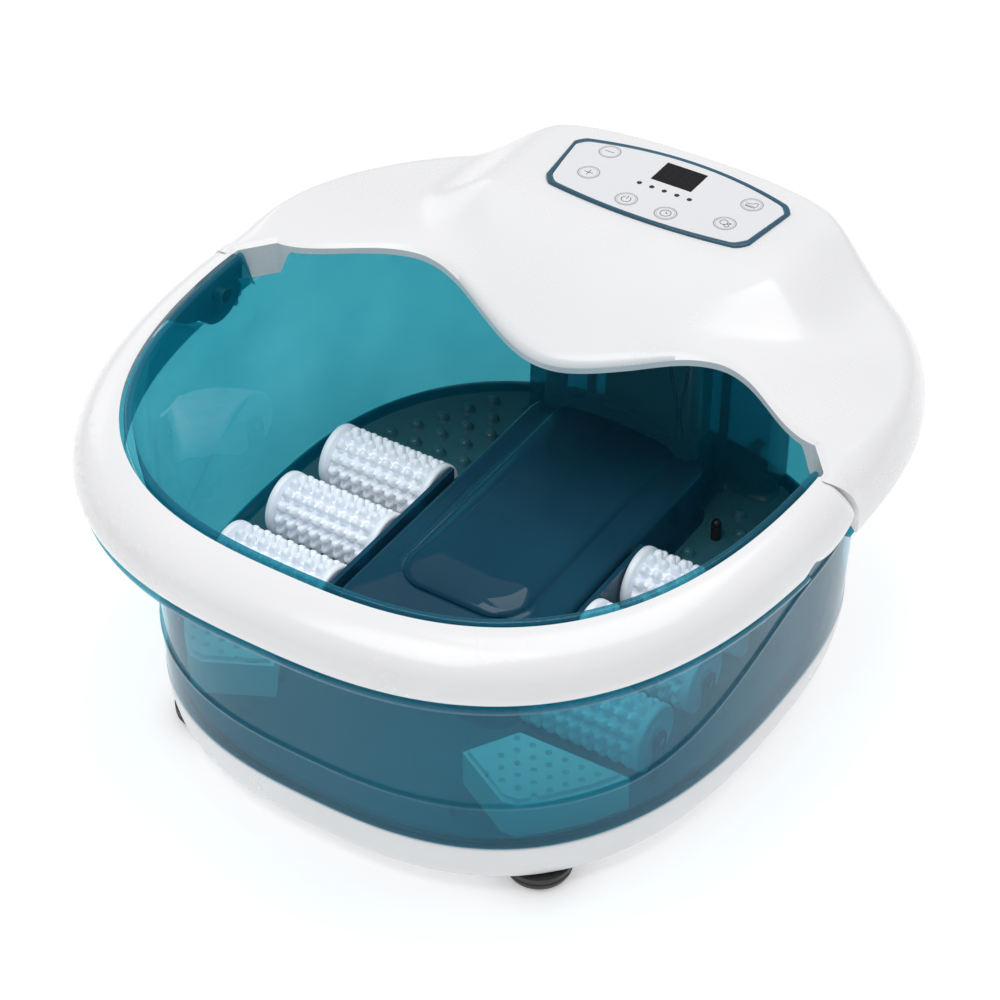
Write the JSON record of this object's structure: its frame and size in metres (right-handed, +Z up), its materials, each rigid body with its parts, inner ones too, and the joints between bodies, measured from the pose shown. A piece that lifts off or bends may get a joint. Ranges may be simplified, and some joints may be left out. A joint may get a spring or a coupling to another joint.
{
  "type": "foot spa basin",
  "caption": "Heated foot spa basin with a clear tinted tub, massage rollers, lift-out infusion boxes, a hood with a push-button panel and a swing-up carry handle.",
  "frame": {"origin": "on the floor under the middle of the basin, at the bottom of the rubber feet", "axes": "+Z up, +X to the right of a person with feet in the wells and toes under the hood, +Y towards the control panel"},
  "size_m": [0.3596, 0.3931, 0.1903],
  "materials": {
    "teal_plastic": "clear tinted gloss",
    "teal_frame": "tinted gloss",
    "white_plastic": "gloss",
    "panel_film": "satin",
    "blue_border": "gloss",
    "dark_glass": "gloss",
    "black_plastic": "satin",
    "black_rubber": "matte",
    "roller_plastic": "satin",
    "box_plastic": "satin",
    "grey_plastic": "satin",
    "steel": "brushed",
    "circuit_board": "satin"
  },
  "bodies": {
    "basin": {"tub": "teal_plastic", "hood": "white_plastic", "base_tray": "white_plastic", "base_seal": "black_rubber", "rubber_feet": "black_rubber", "panel_bezel": "blue_border", "panel_overlay": "panel_film", "display_window": "dark_glass", "indicator_lights": "black_plastic", "control_board": "circuit_board", "roller_axles": "steel", "roller_cradle_left": "teal_frame", "roller_cradle_right": "teal_frame", "heater_plate": "steel", "air_pump": "grey_plastic", "air_hose": "grey_plastic", "vibration_motor": "steel", "motor_bracket": "steel", "power_board": "circuit_board", "wiring_harness": "black_plastic", "temperature_sensor": "black_plastic", "power_cord": "black_plastic", "cord_grommet": "black_rubber", "hood_screws": "steel", "base_screws": "steel"},
    "handle": {"handle": "white_plastic", "handle_pins": "steel"},
    "button_minus": {"button_minus": "panel_film"},
    "button_plus": {"button_plus": "panel_film"},
    "button_power": {"button_power": "panel_film"},
    "button_timer": {"button_timer": "panel_film"},
    "button_heat": {"button_heat": "panel_film"},
    "button_bubble": {"button_bubble": "panel_film"},
    "roller_left_back": {"roller_left_back": "roller_plastic"},
    "roller_left_middle": {"roller_left_middle": "roller_plastic"},
    "roller_left_front": {"roller_left_front": "roller_plastic"},
    "roller_right_back": {"roller_right_back": "roller_plastic"},
    "roller_right_middle": {"roller_right_middle": "roller_plastic"},
    "roller_right_front": {"roller_right_front": "roller_plastic"},
    "infusion_box_left": {"infusion_box_left": "box_plastic"},
    "infusion_lid_left": {"infusion_lid_left": "box_plastic"},
    "infusion_box_right": {"infusion_box_right": "box_plastic"},
    "infusion_lid_right": {"infusion_lid_right": "box_plastic"},
    "vibration_weight": {"vibration_weight": "steel"}
  },
  "joints": [
    {"name": "handle_lift", "type": "hinge", "parent": "basin", "child": "handle", "pos_m": [0, -0.008, 0.16], "axis": [-1, 0, 0], "range_deg": [0, 90]},
    {"name": "button_minus_press", "type": "slide", "parent": "basin", "child": "button_minus", "axis": [0, 0, -1], "range_m": [0, 0.0012]},
    {"name": "button_plus_press", "type": "slide", "parent": "basin", "child": "button_plus", "axis": [0, 0, -1], "range_m": [0, 0.0012]},
    {"name": "button_power_press", "type": "slide", "parent": "basin", "child": "button_power", "axis": [0, 0, -1], "range_m": [0, 0.0012]},
    {"name": "button_timer_press", "type": "slide", "parent": "basin", "child": "button_timer", "axis": [0, 0, -1], "range_m": [0, 0.0012]},
    {"name": "button_heat_press", "type": "slide", "parent": "basin", "child": "button_heat", "axis": [0, 0, -1], "range_m": [0, 0.0012]},
    {"name": "button_bubble_press", "type": "slide", "parent": "basin", "child": "button_bubble", "axis": [0, 0, -1], "range_m": [0, 0.0012]},
    {"name": "roller_left_back_spin", "type": "hinge", "parent": "basin", "child": "roller_left_back", "pos_m": [-0.08975, 0.031, 0.05], "axis": [1, 0, 0], "continuous": true},
    {"name": "roller_left_middle_spin", "type": "hinge", "parent": "basin", "child": "roller_left_middle", "pos_m": [-0.08975, -0.015, 0.05], "axis": [1, 0, 0], "continuous": true},
    {"name": "roller_left_front_spin", "type": "hinge", "parent": "basin", "child": "roller_left_front", "pos_m": [-0.08975, -0.061, 0.05], "axis": [1, 0, 0], "continuous": true},
    {"name": "roller_right_back_spin", "type": "hinge", "parent": "basin", "child": "roller_right_back", "pos_m": [0.08975, 0.031, 0.05], "axis": [1, 0, 0], "continuous": true},
    {"name": "roller_right_middle_spin", "type": "hinge", "parent": "basin", "child": "roller_right_middle", "pos_m": [0.08975, -0.015, 0.05], "axis": [1, 0, 0], "continuous": true},
    {"name": "roller_right_front_spin", "type": "hinge", "parent": "basin", "child": "roller_right_front", "pos_m": [0.08975, -0.061, 0.05], "axis": [1, 0, 0], "continuous": true},
    {"name": "infusion_box_left_lift", "type": "slide", "parent": "basin", "child": "infusion_box_left", "axis": [0, 0, 1], "range_m": [0, 0.15]},
    {"name": "infusion_lid_left_lift", "type": "slide", "parent": "infusion_box_left", "child": "infusion_lid_left", "axis": [0, 0, 1], "range_m": [0, 0.03]},
    {"name": "infusion_box_right_lift", "type": "slide", "parent": "basin", "child": "infusion_box_right", "axis": [0, 0, 1], "range_m": [0, 0.15]},
    {"name": "infusion_lid_right_lift", "type": "slide", "parent": "infusion_box_right", "child": "infusion_lid_right", "axis": [0, 0, 1], "range_m": [0, 0.03]},
    {"name": "vibration_weight_spin", "type": "hinge", "parent": "basin", "child": "vibration_weight", "pos_m": [0, 0.0135, 0.04], "axis": [0, 1, 0], "continuous": true}
  ]
}
